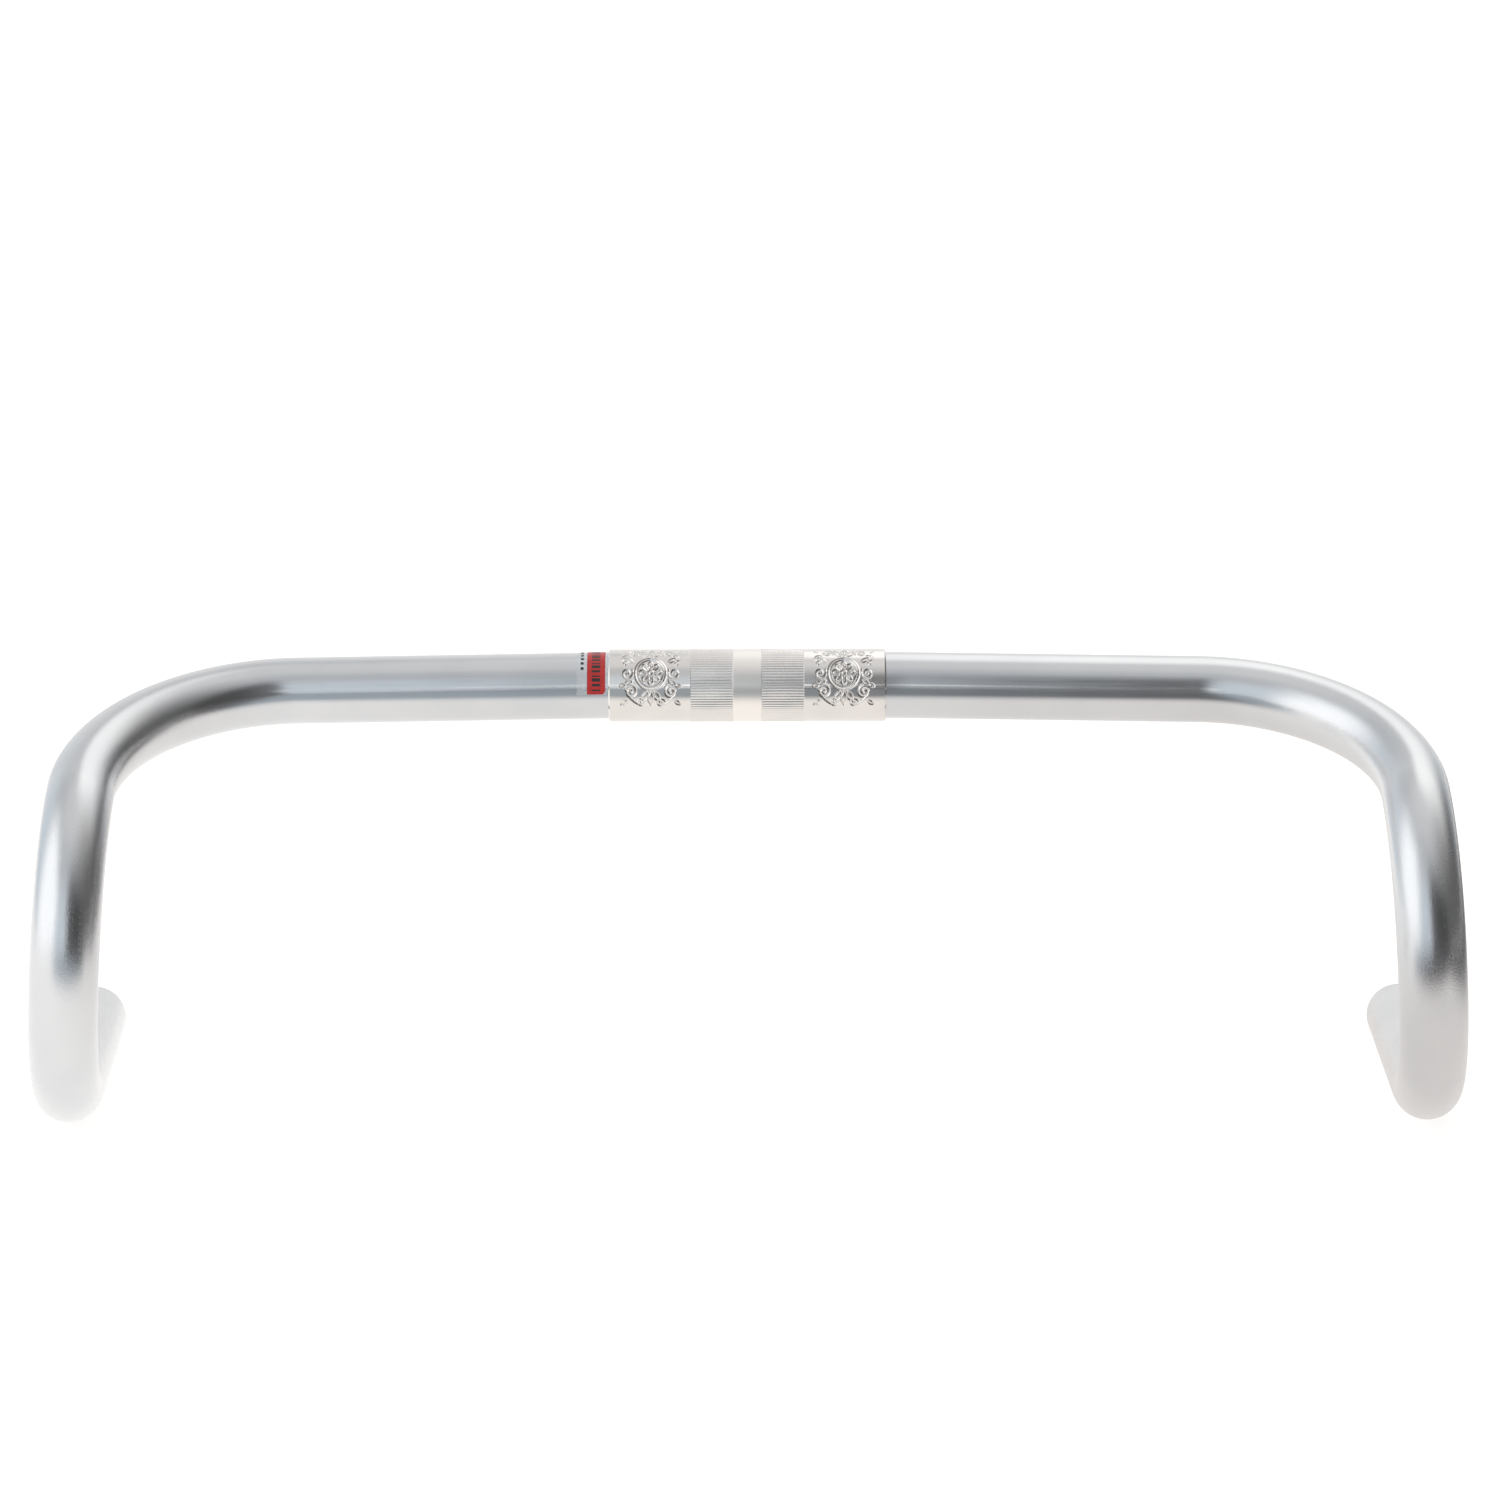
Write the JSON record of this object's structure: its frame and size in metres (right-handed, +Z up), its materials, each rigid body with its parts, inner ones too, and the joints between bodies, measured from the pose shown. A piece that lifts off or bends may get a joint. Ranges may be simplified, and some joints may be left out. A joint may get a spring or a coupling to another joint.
{
  "type": "drop handlebar",
  "caption": "Bent aluminium drop bar for a bicycle, with a knurled and engraved centre sleeve for the stem clamp.",
  "frame": {"origin": "centre of the stem clamp zone, on the tube's axis", "axes": "+X along the clamp zone to the rider's left, +Y towards the rider, +Z up with the lower drops level"},
  "size_m": [0.5186, 0.2068, 0.163],
  "materials": {
    "tube_aluminium": "satin anodised",
    "sleeve_aluminium": "polished, knurled and engraved",
    "clear_film": "clear film",
    "red_print": "glossy print"
  },
  "bodies": {
    "root": {"bar_tube": "tube_aluminium", "centre_sleeve": "sleeve_aluminium", "label_film": "clear_film", "label_band": "red_print"}
  },
  "joints": []
}
